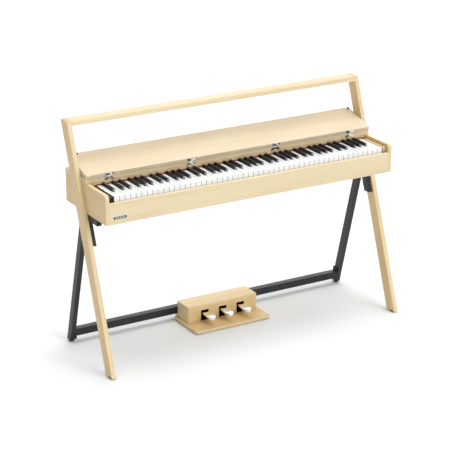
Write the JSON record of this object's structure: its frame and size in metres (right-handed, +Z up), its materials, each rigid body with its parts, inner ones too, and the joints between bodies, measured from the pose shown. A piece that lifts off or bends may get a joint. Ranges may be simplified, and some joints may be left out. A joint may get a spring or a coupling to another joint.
{
  "type": "digital piano on stand",
  "caption": "Home digital piano in pale maple: slim case with full keyboard and fold-back lid, on wooden front legs with an overhead bar, black steel rear legs and a pedal unit.",
  "frame": {"origin": "on the floor under the middle of the overall footprint", "axes": "+X to the player's right along the keyboard, +Y towards the back, +Z up"},
  "size_m": [1.34, 0.442, 0.946],
  "materials": {
    "maple_panels": "satin veneer",
    "maple_solid": "satin lacquer",
    "black_steel": "satin powder coat",
    "speaker_parts": "matte",
    "bright_steel": "zinc plated",
    "bolt_steel": "black oxide",
    "chrome": "polished",
    "badge_metal": "brushed",
    "black_plastic": "satin",
    "red_felt": "felt",
    "rubber": "matte",
    "circuit_board": "solder mask",
    "white_key_plastic": "gloss",
    "black_key_plastic": "satin"
  },
  "bodies": {
    "piano": {"side_panel_left": "maple_panels", "side_panel_right": "maple_panels", "front_rail": "maple_panels", "top_board": "maple_panels", "fallboard": "maple_panels", "back_panel": "maple_panels", "bottom_board": "maple_panels", "end_block_left": "black_plastic", "end_block_right": "maple_panels", "key_bed": "black_steel", "key_pivot_rod": "bright_steel", "key_felt": "red_felt", "circuit_boards": "circuit_board", "speakers": "speaker_parts", "speaker_grilles": "black_steel", "jack_panel": "black_steel", "jack_sockets": "black_plastic", "badge": "badge_metal", "board_hinge_leaves": "chrome", "board_screws": "bright_steel", "front_leg_left": "maple_solid", "front_leg_right": "maple_solid", "top_bar": "maple_solid", "side_frame_left": "black_steel", "side_frame_right": "black_steel", "crossbar": "black_steel", "crossbar_plates": "black_steel", "stand_bolts": "bolt_steel", "tube_caps": "black_plastic", "foot_glides": "rubber", "pedal_base": "maple_panels", "pedal_box": "maple_panels", "pedal_guides": "black_plastic", "pedal_frame": "black_steel", "pedal_shaft": "bright_steel"},
    "lid": {"lid_board": "maple_panels", "lid_bumpers": "rubber", "lid_hinge_leaves": "chrome", "lid_screws": "bright_steel"},
    "pedal_left": {"pedal_left": "chrome"},
    "pedal_middle": {"pedal_middle": "chrome"},
    "pedal_right": {"pedal_right": "chrome"},
    "power_button": {"power_button": "black_plastic"},
    "volume_knob": {"volume_knob": "black_plastic"},
    "key_c4": {"key_c4": "white_key_plastic"},
    "key_d4": {"key_d4": "white_key_plastic"},
    "key_e4": {"key_e4": "white_key_plastic"},
    "key_f4": {"key_f4": "white_key_plastic"},
    "key_g4": {"key_g4": "white_key_plastic"},
    "key_a4": {"key_a4": "white_key_plastic"},
    "key_b4": {"key_b4": "white_key_plastic"},
    "key_c4_sharp": {"key_c4_sharp": "black_key_plastic"},
    "key_d4_sharp": {"key_d4_sharp": "black_key_plastic"},
    "key_f4_sharp": {"key_f4_sharp": "black_key_plastic"},
    "key_g4_sharp": {"key_g4_sharp": "black_key_plastic"},
    "key_a4_sharp": {"key_a4_sharp": "black_key_plastic"},
    "bass_white_keys": {"bass_white_keys": "white_key_plastic"},
    "bass_black_keys": {"bass_black_keys": "black_key_plastic"},
    "treble_white_keys": {"treble_white_keys": "white_key_plastic"},
    "treble_black_keys": {"treble_black_keys": "black_key_plastic"}
  },
  "joints": [
    {"name": "lid_hinge", "type": "hinge", "parent": "piano", "child": "lid", "pos_m": [0, -0.0004, 0.7444], "axis": [1, 0, 0], "range_deg": [0, 163.5]},
    {"name": "pedal_left_hinge", "type": "hinge", "parent": "piano", "child": "pedal_left", "pos_m": [-0.085, 0.154, 0.051], "axis": [1, 0, 0], "range_deg": [0, 6.2], "stiffness_Nm_per_rad": 12, "springref_deg": -5.73},
    {"name": "pedal_middle_hinge", "type": "hinge", "parent": "piano", "child": "pedal_middle", "pos_m": [0, 0.154, 0.051], "axis": [1, 0, 0], "range_deg": [0, 6.2], "stiffness_Nm_per_rad": 12, "springref_deg": -5.73},
    {"name": "pedal_right_hinge", "type": "hinge", "parent": "piano", "child": "pedal_right", "pos_m": [0.085, 0.154, 0.051], "axis": [1, 0, 0], "range_deg": [0, 6.2], "stiffness_Nm_per_rad": 12, "springref_deg": -5.73},
    {"name": "key_c4_hinge", "type": "hinge", "parent": "piano", "child": "key_c4", "pos_m": [0, 0.098, 0.7], "axis": [1, 0, 0], "range_deg": [0, 2.3], "stiffness_Nm_per_rad": 2, "springref_deg": -5.73},
    {"name": "key_d4_hinge", "type": "hinge", "parent": "piano", "child": "key_d4", "pos_m": [0, 0.098, 0.7], "axis": [1, 0, 0], "range_deg": [0, 2.3], "stiffness_Nm_per_rad": 2, "springref_deg": -5.73},
    {"name": "key_e4_hinge", "type": "hinge", "parent": "piano", "child": "key_e4", "pos_m": [0, 0.098, 0.7], "axis": [1, 0, 0], "range_deg": [0, 2.3], "stiffness_Nm_per_rad": 2, "springref_deg": -5.73},
    {"name": "key_f4_hinge", "type": "hinge", "parent": "piano", "child": "key_f4", "pos_m": [0, 0.098, 0.7], "axis": [1, 0, 0], "range_deg": [0, 2.3], "stiffness_Nm_per_rad": 2, "springref_deg": -5.73},
    {"name": "key_g4_hinge", "type": "hinge", "parent": "piano", "child": "key_g4", "pos_m": [0, 0.098, 0.7], "axis": [1, 0, 0], "range_deg": [0, 2.3], "stiffness_Nm_per_rad": 2, "springref_deg": -5.73},
    {"name": "key_a4_hinge", "type": "hinge", "parent": "piano", "child": "key_a4", "pos_m": [0, 0.098, 0.7], "axis": [1, 0, 0], "range_deg": [0, 2.3], "stiffness_Nm_per_rad": 2, "springref_deg": -5.73},
    {"name": "key_b4_hinge", "type": "hinge", "parent": "piano", "child": "key_b4", "pos_m": [0, 0.098, 0.7], "axis": [1, 0, 0], "range_deg": [0, 2.3], "stiffness_Nm_per_rad": 2, "springref_deg": -5.73},
    {"name": "key_c4_sharp_hinge", "type": "hinge", "parent": "piano", "child": "key_c4_sharp", "pos_m": [0, 0.098, 0.7], "axis": [1, 0, 0], "range_deg": [0, 2.3], "stiffness_Nm_per_rad": 1.4, "springref_deg": -5.73},
    {"name": "key_d4_sharp_hinge", "type": "hinge", "parent": "piano", "child": "key_d4_sharp", "pos_m": [0, 0.098, 0.7], "axis": [1, 0, 0], "range_deg": [0, 2.3], "stiffness_Nm_per_rad": 1.4, "springref_deg": -5.73},
    {"name": "key_f4_sharp_hinge", "type": "hinge", "parent": "piano", "child": "key_f4_sharp", "pos_m": [0, 0.098, 0.7], "axis": [1, 0, 0], "range_deg": [0, 2.3], "stiffness_Nm_per_rad": 1.4, "springref_deg": -5.73},
    {"name": "key_g4_sharp_hinge", "type": "hinge", "parent": "piano", "child": "key_g4_sharp", "pos_m": [0, 0.098, 0.7], "axis": [1, 0, 0], "range_deg": [0, 2.3], "stiffness_Nm_per_rad": 1.4, "springref_deg": -5.73},
    {"name": "key_a4_sharp_hinge", "type": "hinge", "parent": "piano", "child": "key_a4_sharp", "pos_m": [0, 0.098, 0.7], "axis": [1, 0, 0], "range_deg": [0, 2.3], "stiffness_Nm_per_rad": 1.4, "springref_deg": -5.73},
    {"name": "bass_white_keys_hinge", "type": "hinge", "parent": "piano", "child": "bass_white_keys", "pos_m": [0, 0.098, 0.7], "axis": [1, 0, 0], "range_deg": [0, 2.3], "stiffness_Nm_per_rad": 46, "springref_deg": -5.73},
    {"name": "treble_white_keys_hinge", "type": "hinge", "parent": "piano", "child": "treble_white_keys", "pos_m": [0, 0.098, 0.7], "axis": [1, 0, 0], "range_deg": [0, 2.3], "stiffness_Nm_per_rad": 44, "springref_deg": -5.73},
    {"name": "bass_black_keys_hinge", "type": "hinge", "parent": "piano", "child": "bass_black_keys", "pos_m": [0, 0.098, 0.7], "axis": [1, 0, 0], "range_deg": [0, 2.3], "stiffness_Nm_per_rad": 22, "springref_deg": -5.73},
    {"name": "treble_black_keys_hinge", "type": "hinge", "parent": "piano", "child": "treble_black_keys", "pos_m": [0, 0.098, 0.7], "axis": [1, 0, 0], "range_deg": [0, 2.3], "stiffness_Nm_per_rad": 21, "springref_deg": -5.73},
    {"name": "power_button_press", "type": "slide", "parent": "piano", "child": "power_button", "axis": [0, -1, 0], "range_m": [0, 0.0015], "stiffness_N_per_m": 500, "springref_m": -0.002},
    {"name": "volume_knob_turn", "type": "hinge", "parent": "piano", "child": "volume_knob", "pos_m": [-0.032, 0.183, 0.668], "axis": [0, 1, 0], "range_deg": [-140, 140]}
  ]
}
